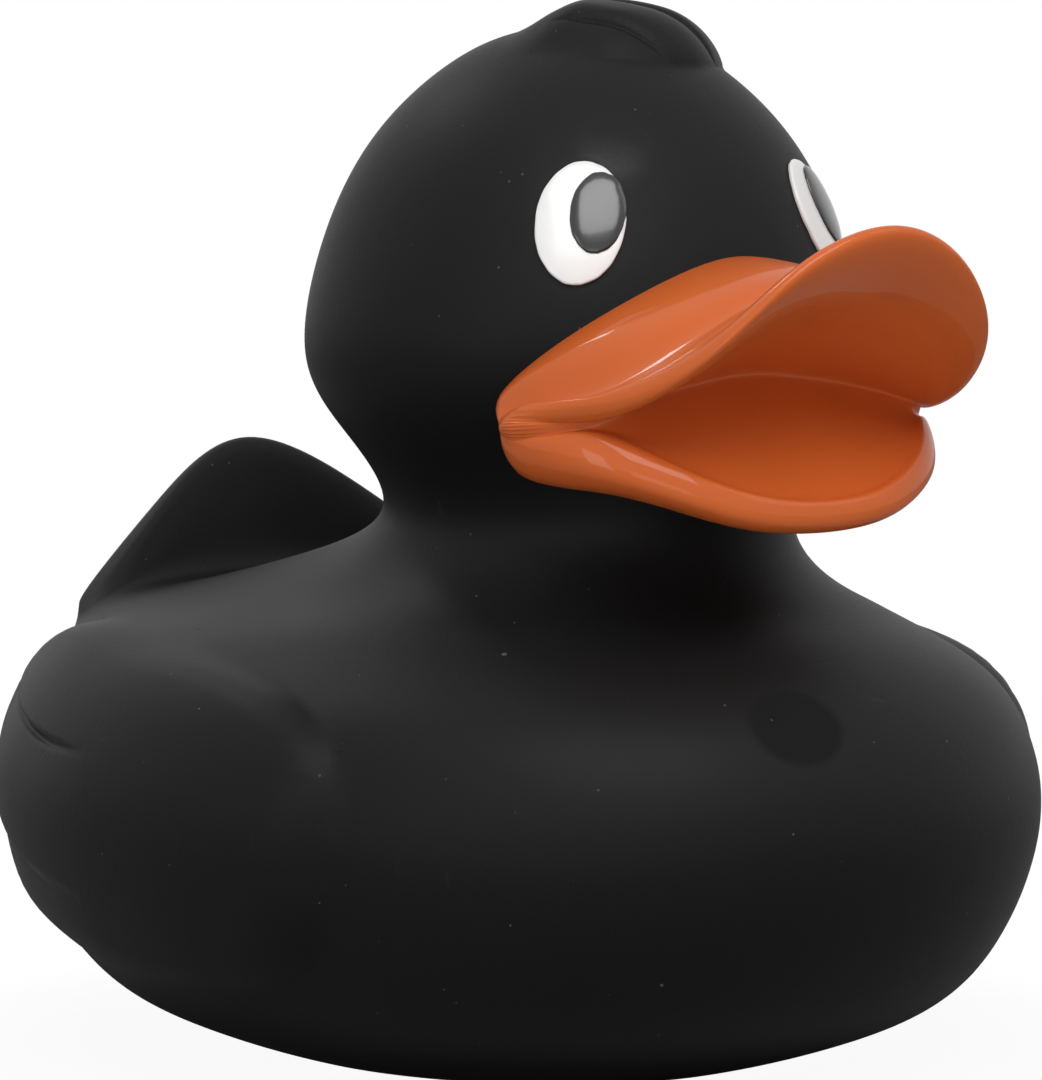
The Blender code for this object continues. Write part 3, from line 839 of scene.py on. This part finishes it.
def eye_view(tree, side, body, eyes):
    """Middle of an eye, with its own across, up and outward directions."""
    place = -eyes.right if side < 0 else eyes.left
    point, normal = face_point(tree, place, eyes.height, body)
    lean = Matrix.Rotation(side * eyes.lean, 3, normal)
    across = Vector((0, 0, 1)).cross(normal).normalized()
    up = normal.cross(across).normalized()
    return point, lean @ across, lean @ up, normal


def eye_ring(points, views, eyes):
    """Distance from the nearest eye's middle, where 1 is the rim of the white."""
    nearest_ring = np.full(len(points), OUTSIDE)
    for middle, across, up, normal in views:
        offset = points - np.array(middle)
        p = offset @ np.array(across) / eyes.half_width
        q = offset @ np.array(up) / eyes.half_height
        deep = np.abs(offset @ np.array(normal)) > EYE_DEPTH
        nearest_ring = np.minimum(nearest_ring, np.where(deep, OUTSIDE, np.hypot(p, q)))
    return nearest_ring


def make_pad(name, tree, view, shift, radii, layers, wobble):
    """Thin oval of paint that follows the head, with a rounded edge."""
    middle, across, up, normal = view
    grid = []
    for share, height in layers:
        ring = []
        for i in range(PAD_SIDES):
            turn = 2 * pi * i / PAD_SIDES
            edge = 1 + wobble * (sin(7 * turn + 1) + sin(17 * turn) + 0.6 * sin(31 * turn))
            p = shift[0] + radii[0] * share * edge * cos(turn)
            q = shift[1] + radii[1] * share * edge * sin(turn)
            start = middle + normal * RAY_START + across * p + up * q
            point, facing, _, _ = tree.ray_cast(start, -normal)
            ring.append(point + facing * height)
        grid.append(ring)
    piece = draw_rings(name, grid)
    apply_change(piece, "SUBSURF", levels=1, render_levels=1)
    return piece


def make_eye(tree, side, body, eyes):
    view = eye_view(tree, side, body, eyes)
    name = "right" if side < 0 else "left"
    step = eyes.step
    # Share of the radii, and height over the head, here and for the pupil
    layers = (
        (1.0, -PAD_SUNK),
        (1.0, 0.55 * step),
        (0.985, 0.85 * step),
        (0.94, step),
        (0.70, step),
        (0.40, step),
        (0.10, step),
    )
    radii = (eyes.half_width, eyes.half_height)
    white = make_pad("eye_white_" + name, tree, view, (0, 0), radii, layers, 0.004)
    shift = (eyes.half_width - eyes.pupil_half_width - PUPIL_MARGIN, eyes.pupil_lift)
    top = step + PUPIL_RISE
    layers = (
        (1.0, 0.3 * step),
        (1.0, top - 0.0001),
        (0.96, top + 0.00008),
        (0.78, top + 0.00034),
        (0.45, top + 0.00047),
        (0.10, top + 0.00049),
    )
    radii = (eyes.pupil_half_width, eyes.pupil_half_height)
    pupil = make_pad("eye_pupil_" + name, tree, view, shift, radii, layers, 0.006)
    return white, pupil


# Bill


def bill_station(tree, station, body, bill):
    """Ring of points round both lips. Stations run from 0 in the middle to 5 at a corner."""
    side = 1 if station >= 0 else -1
    step = abs(station)
    turn = STATION_DEGREES[step] / 90
    f, g = max(cos(turn * pi / 2), 0.0), sin(turn * pi / 2)
    out = Vector((side * g, -f, 0))
    along = Vector((side * f, g, 0))
    up = Vector((0, 0, 1))
    face_y = body.head_y - FACE_SHARE * body.head_radius
    corner_y = body.head_y - CORNER_SHARE * body.head_radius

    def rim_point(table, reach, base, rise):
        width, forward, height = table[step]
        y = corner_y - forward * (corner_y - face_y + reach)
        return Vector((side * width * bill.half_width, y, base + height * rise))

    upper = rim_point(
        UPPER_RIM, bill.upper_reach, bill.mouth + bill.corner_gap / 2, bill.upper_rise
    )
    lower = rim_point(
        LOWER_RIM, bill.lower_reach, bill.mouth - bill.corner_gap / 2, -bill.lower_drop
    )
    width, forward, height = THROAT[step]
    deep = Vector(
        (side * width * bill.half_width, face_y - forward, bill.mouth + height * bill.mouth_rise)
    )
    shut = SHUT[step]

    root_z = bill.mouth + bill.root_rise - (bill.root_rise - bill.root_end) * turn**ROOT_POWER
    root_turn = bill.root_angle * turn * (1 - ROOT_TUCK * turn**4)
    root, normal = face_point(tree, side * root_turn, root_z, body)
    half = bill.lip / 2

    def back_point(share, rise, sink):
        return root.lerp(upper, share) + up * (rise - sink * f**2)

    hump = back_point(*HUMP) + out * HUMP_BULGE * g
    slope = back_point(*SLOPE)
    valley = back_point(*VALLEY)
    flare = back_point(*FLARE)
    tangent = (upper - flare).normalized()
    across = tangent.cross(along).normalized() * side
    if across.z < 0:
        across = -across
    rim_top = upper + across * half - tangent * RIM_BACK * half
    rim_nose = upper + tangent * RIM_NOSE * half
    rim_low = upper - across * half - tangent * RIM_BACK * half
    under_flare = flare - across * FLARE_SHARE * bill.lip
    roof = under_flare.lerp(deep, ROOF_SHARE) + across * ROOF_RISE * f

    inward = (deep - lower).normalized()
    rise = inward.cross(along).normalized() * side
    if rise.z < 0:
        rise = -rise
    margin = bill.tray_margin * (1 - RIM_NARROWING * f**2)
    groove = lower + inward * margin - rise * bill.tray_depth
    edge = lower + inward * (margin - RIM_EDGE[0]) + rise * RIM_EDGE[1]
    rim_lower_top = lower + inward * RIM_TOP[0] + rise * RIM_TOP[1]
    tray = groove.lerp(deep, 0.5) - rise * TRAY_SAG
    bulge_drop = BULGE_DROP + BULGE_CORNER_DROP * g
    bulge = lower + out * (BULGE_REACH + BULGE_REACH * g) - up * bulge_drop
    bottom = lower - out * LIP_TUCK - up * LIP_DROP[step]
    chin_z = bill.mouth - CHIN_DEPTH + CHIN_END_RISE * g
    chin, chin_normal = face_point(tree, side * CHIN_ANGLE * turn, chin_z, body)
    under = bottom.lerp(chin, UNDER_SHARE) - up * UNDER_SAG

    # Towards a corner the mouth closes to a crease, and then to a plain round end
    mouth = [
        flare,
        rim_top,
        rim_nose,
        rim_low,
        under_flare,
        roof,
        deep + across * THROAT_RISE,
        deep,
        tray,
        groove,
        edge,
        rim_lower_top,
        bulge,
    ]
    centre = (upper + lower) / 2 - out * CORNER_INSET
    crease = deep.lerp((upper + lower) / 2, SHUT_SHARE)
    for i, place in enumerate(mouth):
        bend = radians(CORNER_DEGREES - 2 * CORNER_DEGREES * i / (len(mouth) - 1))
        arc = centre + out * CORNER_BULGE * cos(bend) + up * bill.corner_height * sin(bend)
        lips = place.lerp(crease, shut if i in INSIDE else 0.0)
        mouth[i] = lips.lerp(arc, ROUND_OFF[step])
    return [
        root - normal * bill.root_depth,
        root + normal * 0.0002,
        hump,
        slope,
        valley,
        *mouth,
        bottom,
        under,
        chin - chin_normal * bill.root_depth,
    ]


def bill_grid(tree, body, bill):
    last = len(STATION_DEGREES) - 1
    return [bill_station(tree, i, body, bill) for i in range(-last, last + 1)]


def make_bill(tree, body, bill):
    piece = draw_rings("bill", bill_grid(tree, body, bill))
    apply_change(piece, "SUBSURF", levels=4, render_levels=4)
    corner_y = body.head_y - CORNER_SHARE * body.head_radius
    corner = np.array((bill.half_width, corner_y, bill.mouth))

    def near_corner(points):
        offset = np.abs(points) * (1, 0, 1) + points * (0, 1, 0) - corner
        return np.linalg.norm(offset, axis=1) < CORNER_REACH * bill.corner_height

    soften(piece, near_corner, CORNER_SMOOTHINGS)
    return piece


# Materials


class Wire:
    """A node's output, so that maths on it is written as an expression."""

    def __init__(self, recipe, socket):
        self.recipe = recipe
        self.socket = socket

    def __add__(self, other):
        return self.recipe.maths("ADD", self, other)

    def __radd__(self, other):
        return self.recipe.maths("ADD", other, self)

    def __sub__(self, other):
        return self.recipe.maths("SUBTRACT", self, other)

    def __rsub__(self, other):
        return self.recipe.maths("SUBTRACT", other, self)

    def __mul__(self, other):
        return self.recipe.maths("MULTIPLY", self, other)

    def __rmul__(self, other):
        return self.recipe.maths("MULTIPLY", other, self)

    def __lt__(self, other):
        return self.recipe.maths("LESS_THAN", self, other)


class Recipe:
    """A material written as wires between nodes."""

    def __init__(self, name):
        self.material = bpy.data.materials.new(name)
        self.material.use_nodes = True
        self.tree = self.material.node_tree
        self.shader = self.tree.nodes["Principled BSDF"]
        self.place = self.node("ShaderNodeTexCoord").outputs["Object"]

    def put(self, socket, value):
        if isinstance(value, Wire):
            self.tree.links.new(value.socket, socket)
        elif isinstance(value, bpy.types.NodeSocket):
            self.tree.links.new(value, socket)
        else:
            socket.default_value = value

    def node(self, kind, settings=None, inputs=None):
        node = self.tree.nodes.new(kind)
        for key, value in (settings or {}).items():
            setattr(node, key, value)
        for key, value in (inputs or {}).items():
            self.put(node.inputs[key], value)
        return node

    def maths(self, operation, a, b):
        node = self.node("ShaderNodeMath", {"operation": operation}, {0: a, 1: b})
        return Wire(self, node.outputs[0])

    def mix(self, factor, low, high):
        settings = {"data_type": "RGBA"}
        node = self.node("ShaderNodeMix", settings, {0: factor, 6: low, 7: high})
        return Wire(self, node.outputs[2])

    def ease(self, value, low, high):
        """0 below the low value, 1 above the high one, smooth between."""
        settings = {"interpolation_type": "SMOOTHSTEP"}
        inputs = {"Value": value, "From Min": low, "From Max": high}
        node = self.node("ShaderNodeMapRange", settings, inputs)
        return Wire(self, node.outputs["Result"])

    def stretch(self, scale, turn=(0, 0, 0), shift=(0, 0, 0)):
        inputs = {"Vector": self.place, "Scale": scale, "Rotation": turn, "Location": shift}
        return self.node("ShaderNodeMapping", {}, inputs).outputs["Vector"]

    def noise(self, scale, detail=2.0, rough=0.5, vector=None):
        inputs = {
            "Vector": vector or self.place,
            "Scale": scale,
            "Detail": detail,
            "Roughness": rough,
        }
        return Wire(self, self.node("ShaderNodeTexNoise", {}, inputs).outputs["Fac"])

    def specks(self, scale, radius, share):
        """Small dots, on a share of the cells of a random pattern."""
        inputs = {"Vector": self.place, "Scale": scale}
        cells = self.node("ShaderNodeTexVoronoi", {}, inputs)
        chance = self.node("ShaderNodeSeparateColor", {}, {0: cells.outputs["Color"]})
        kept = Wire(self, chance.outputs["Red"]) < share
        size = Wire(self, chance.outputs["Green"]) * radius + 0.4 * radius
        return (Wire(self, cells.outputs["Distance"]) < size) * kept

    def patch(self, middle, radii, soft):
        """1 inside an oval at a place on the piece, and 0 outside it."""
        scale = [1 / radius for radius in radii]
        shift = [-m / r for m, r in zip(middle, radii)]
        place = self.stretch(scale, shift=shift)
        far = self.node("ShaderNodeVectorMath", {"operation": "LENGTH"}, {0: place})
        reach = Wire(self, far.outputs["Value"])
        return 1 - self.ease(reach, 1 - soft, 1.0)

    def bump(self, height, distance, strength=1.0):
        inputs = {"Height": height, "Distance": distance, "Strength": strength}
        node = self.node("ShaderNodeBump", {}, inputs)
        self.put(self.shader.inputs["Normal"], node.outputs["Normal"])

    def finish(self, sockets):
        for name, value in sockets.items():
            self.put(self.shader.inputs[name], value)
        return self.material


def tint(rgb, share=1.0):
    return (rgb[0] * share, rgb[1] * share, rgb[2] * share, 1.0)


def vinyl_material(colours, middle_of_gloss):
    """Matt black vinyl with dust, faint scuffs, a fingertip mark and a gloss patch."""
    skin = Recipe("matt_black_vinyl")
    cloud = skin.noise(26.0, 3.0, 0.55)
    fine = skin.noise(900.0, 2.0, 0.6)
    dust = skin.specks(420.0, 0.075, 0.10) + skin.specks(170.0, 0.060, 0.07)
    lines = skin.stretch((60.0, 420.0, 60.0), turn=(0.5, 0.3, 0.8))
    scuff = skin.ease(skin.noise(1.0, 3.0, 0.6, lines), 0.66, 0.80)
    scuff = scuff * skin.ease(skin.noise(17.0, 2.0), 0.52, 0.66)
    smudge = skin.patch(SMUDGE_MIDDLE, SMUDGE_RADII, 0.25)
    gloss = skin.patch(middle_of_gloss, GLOSS_RADII, 0.6)
    base = skin.mix(cloud, tint(colours.vinyl, 0.86), tint(colours.vinyl, 1.14))
    base = skin.mix(scuff * 0.16, base, (0.11, 0.105, 0.10, 1.0))
    base = skin.mix(smudge * 0.55, base, tint(colours.vinyl, 0.45))
    base = skin.mix(dust * 0.5, base, (0.16, 0.15, 0.14, 1.0))
    rough = 0.54 + 0.08 * (cloud - 0.5) + 0.05 * (fine - 0.5)
    rough = rough + scuff * 0.05 + dust * 0.25 - gloss * 0.20 + smudge * 0.20
    skin.bump(fine + 0.5 * cloud, 0.00006, 0.6)
    return skin.finish({"Base Color": base, "Roughness": rough, "Specular IOR Level": 0.14})


def bill_material(colours):
    """Glossy orange spray paint, a little uneven, with dust in it."""
    paint = Recipe("orange_bill_paint")
    cloud = paint.noise(45.0, 2.0)
    fine = paint.noise(700.0, 2.0)
    dust = paint.specks(300.0, 0.070, 0.05)
    base = paint.mix(cloud, tint(colours.bill, 0.93), tint(colours.bill, 1.05))
    base = paint.mix(dust * 0.35, base, (0.30, 0.12, 0.06, 1.0))
    rough = 0.42 + 0.07 * (cloud - 0.5) + 0.20 * dust
    paint.bump(cloud + 0.12 * fine, 0.00010, 0.5)
    sockets = {
        "Base Color": base,
        "Roughness": rough,
        "Specular IOR Level": 0.08,
        "Coat Weight": 0.35,
        "Coat Roughness": 0.05,
    }
    return paint.finish(sockets)


def plain_paint(name, rgb, roughness, coat, uneven):
    """Thin brushed or sprayed paint: slightly uneven in tone and gloss."""
    paint = Recipe(name)
    cloud = paint.noise(160.0, 2.0)
    fine = paint.noise(1400.0, 1.0)
    base = paint.mix(cloud, tint(rgb, 1 - uneven), tint(rgb, 1 + uneven))
    rough = roughness + 0.10 * (cloud - 0.5)
    paint.bump(cloud + 0.2 * fine, 0.00005, 0.5)
    sockets = {
        "Base Color": base,
        "Roughness": rough,
        "Coat Weight": coat,
        "Coat Roughness": 0.08,
    }
    return paint.finish(sockets)


def dress(piece, material, replaced=None):
    piece.data.materials.clear()
    piece.data.materials.append(material)
    piece.data.shade_smooth()
    if replaced:
        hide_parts(replaced)
    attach(piece, "root")


# Operators


class DUCK_OT_add_body(Operator):
    """Models the moulded body with its tail, wings, feather slits and tuft"""

    bl_idname = "duck.add_body"
    bl_label = "Add Body"

    def execute(self, context):
        scene = context.scene
        piece, smooth = make_body(scene.duck_body, scene.duck_relief, scene.duck_eyes)
        bore_base(piece)
        middle, _ = face_point(smooth, GLOSS_ANGLE, GLOSS_HEIGHT, scene.duck_body)
        material = vinyl_material(scene.duck_colours, middle)
        dress(piece, material, "duck_shell")
        return {"FINISHED"}


class DUCK_OT_add_bill(Operator):
    """Models both lips of the open bill in one painted form"""

    bl_idname = "duck.add_bill"
    bl_label = "Add Bill"

    def execute(self, context):
        scene = context.scene
        tree = surface_tree(bpy.data.objects["moulded_body"])
        piece = make_bill(tree, scene.duck_body, scene.duck_bill)
        dress(piece, bill_material(scene.duck_colours), "duck_shell")
        return {"FINISHED"}


class DUCK_OT_add_eyes(Operator):
    """Adds the white and the pupil of each eye as raised paint"""

    bl_idname = "duck.add_eyes"
    bl_label = "Add Eyes"

    def execute(self, context):
        scene = context.scene
        colours = scene.duck_colours
        tree = surface_tree(bpy.data.objects["moulded_body"])
        white = plain_paint("white_eye_paint", colours.white, 0.25, 0.3, 0.02)
        black = plain_paint("black_pupil_paint", colours.pupil, 0.22, 0.4, 0.10)
        for side in (-1, 1):
            pads = make_eye(tree, side, scene.duck_body, scene.duck_eyes)
            dress(pads[0], white, "duck_shell")
            dress(pads[1], black, "duck_shell")
        return {"FINISHED"}


class DUCK_OT_finish_squeaker(Operator):
    """Gives the squeaker's cup and reed their plastics"""

    bl_idname = "duck.finish_squeaker"
    bl_label = "Finish Squeaker"

    def execute(self, context):
        colours = context.scene.duck_colours
        cup = plain_paint("white_squeaker_plastic", colours.plastic, 0.40, 0.0, 0.03)
        film = plain_paint("clear_reed_film", colours.film, 0.30, 0.2, 0.04)
        for node, material in (("squeaker_cup", cup), ("squeaker_reed", film)):
            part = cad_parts[node]
            for slot in part.material_slots:
                slot.material = material
        return {"FINISHED"}


# Studio


def add_lamp(name, azimuth, elevation, distance, width, height, power):
    a, e = radians(azimuth), radians(elevation)
    back = Vector((sin(a) * cos(e), -cos(a) * cos(e), sin(e)))
    place = LAMP_TARGET + back * distance
    deselect()
    bpy.ops.object.light_add(type="AREA", location=place)
    lamp = bpy.context.active_object
    lamp.name = name
    lamp.data.shape = "RECTANGLE"
    lamp.data.size = width
    lamp.data.size_y = height
    lamp.data.energy = power
    lamp.rotation_euler = (-back).to_track_quat("-Z", "Y").to_euler()


def paper_material(colours):
    """White paper with a faint share of the duck's shadow, which runs out into white air."""
    paper = Recipe("white_paper")
    paper.finish({"Base Color": tint(colours.paper), "Roughness": 0.9})
    far = paper.node("ShaderNodeVectorMath", {"operation": "LENGTH"}, {0: paper.place})
    away = paper.ease(Wire(paper, far.outputs["Value"]), FLOOR_NEAR, FLOOR_FAR)
    path = paper.node("ShaderNodeLightPath")
    white = FLOOR_WHITE + (1 - FLOOR_WHITE) * away
    seen = Wire(paper, path.outputs["Is Camera Ray"]) * white
    glow = paper.node("ShaderNodeEmission", {}, {"Color": (1, 1, 1, 1), "Strength": 1.0})
    blend = paper.node("ShaderNodeMixShader", {}, {0: seen})
    paper.put(blend.inputs[1], paper.shader.outputs[0])
    paper.put(blend.inputs[2], glow.outputs[0])
    paper.put(paper.tree.nodes["Material Output"].inputs["Surface"], blend.outputs[0])
    return paper.material


def make_air():
    """White to the camera, to gloss and to glass, and a dimmer soft light on the duck."""
    world = bpy.data.worlds.new("studio_air")
    world.use_nodes = True
    nodes = world.node_tree.nodes
    links = world.node_tree.links
    air = nodes["Background"]
    air.inputs["Color"].default_value = (1, 1, 1, 1)
    path = nodes.new("ShaderNodeLightPath")
    level = None
    for output in ("Is Glossy Ray", "Is Transmission Ray", "Is Camera Ray"):
        choice = nodes.new("ShaderNodeMix")
        links.new(path.outputs[output], choice.inputs["Factor"])
        choice.inputs["A"].default_value = AIR_LIGHT
        if level:
            links.new(level, choice.inputs["A"])
        choice.inputs["B"].default_value = 1.0
        level = choice.outputs["Result"]
    links.new(level, air.inputs["Strength"])
    return world


class DUCK_OT_add_studio(Operator):
    """Adds the white floor, soft lamps and the camera"""

    bl_idname = "duck.add_studio"
    bl_label = "Add Studio"

    def execute(self, context):
        scene = context.scene
        studio = scene.duck_studio
        deselect()
        bpy.ops.mesh.primitive_plane_add(size=FLOOR_SIZE, location=(0, 0, -FLOOR_DROP))
        floor = take_active("paper_floor")
        floor.data.materials.append(paper_material(scene.duck_colours))
        for lamp in LAMPS:
            add_lamp(*lamp)
        scene.world = make_air()

        e, a = studio.elevation, studio.azimuth
        back = Vector((sin(a) * cos(e), -cos(a) * cos(e), sin(e)))
        deselect()
        middle = scene.duck_body.middle
        place = Vector((0, middle, studio.target)) + back * studio.distance
        bpy.ops.object.camera_add(location=place)
        camera = bpy.context.active_object
        camera.name = "photo_camera"
        camera.rotation_euler = (-back).to_track_quat("-Z", "Y").to_euler()
        camera.data.sensor_fit = "HORIZONTAL"
        camera.data.sensor_width = SENSOR_WIDTH
        camera.data.lens = SENSOR_WIDTH * studio.scale * studio.distance / PHOTO_WIDTH
        scene.camera = camera
        scene.view_settings.view_transform = "Standard"
        return {"FINISHED"}


class DUCK_PT_panel(Panel):
    """Lists the steps that build the duck"""

    bl_label = "Bath Duck"
    bl_idname = "DUCK_PT_panel"
    bl_space_type = "VIEW_3D"
    bl_region_type = "UI"
    bl_category = "Bath Duck"

    def draw(self, context):
        for operator in OPERATORS:
            self.layout.operator(operator.bl_idname)
        for name in GROUPS:
            box = self.layout.box()
            sizes = getattr(context.scene, name)
            for key in sizes.bl_rna.properties.keys():
                if key not in ("rna_type", "name"):
                    box.prop(sizes, key)


OPERATORS = (
    DUCK_OT_add_body,
    DUCK_OT_add_bill,
    DUCK_OT_add_eyes,
    DUCK_OT_finish_squeaker,
    DUCK_OT_add_studio,
)
GROUPS = {
    "duck_body": BodySizes,
    "duck_relief": ReliefSizes,
    "duck_bill": BillSizes,
    "duck_eyes": EyeSizes,
    "duck_colours": Colours,
    "duck_studio": StudioSettings,
}


def register():
    for name, group in GROUPS.items():
        bpy.utils.register_class(group)
        setattr(bpy.types.Scene, name, PointerProperty(type=group))
    for cls in (*OPERATORS, DUCK_PT_panel):
        bpy.utils.register_class(cls)


def unregister():
    for cls in (DUCK_PT_panel, *reversed(OPERATORS)):
        bpy.utils.unregister_class(cls)
    for name, group in reversed(list(GROUPS.items())):
        delattr(bpy.types.Scene, name)
        bpy.utils.unregister_class(group)


def main():
    register()
    bpy.ops.duck.add_body()
    bpy.ops.duck.add_bill()
    bpy.ops.duck.add_eyes()
    bpy.ops.duck.finish_squeaker()
    bpy.ops.duck.add_studio()


if __name__ == "__main__":
    main()
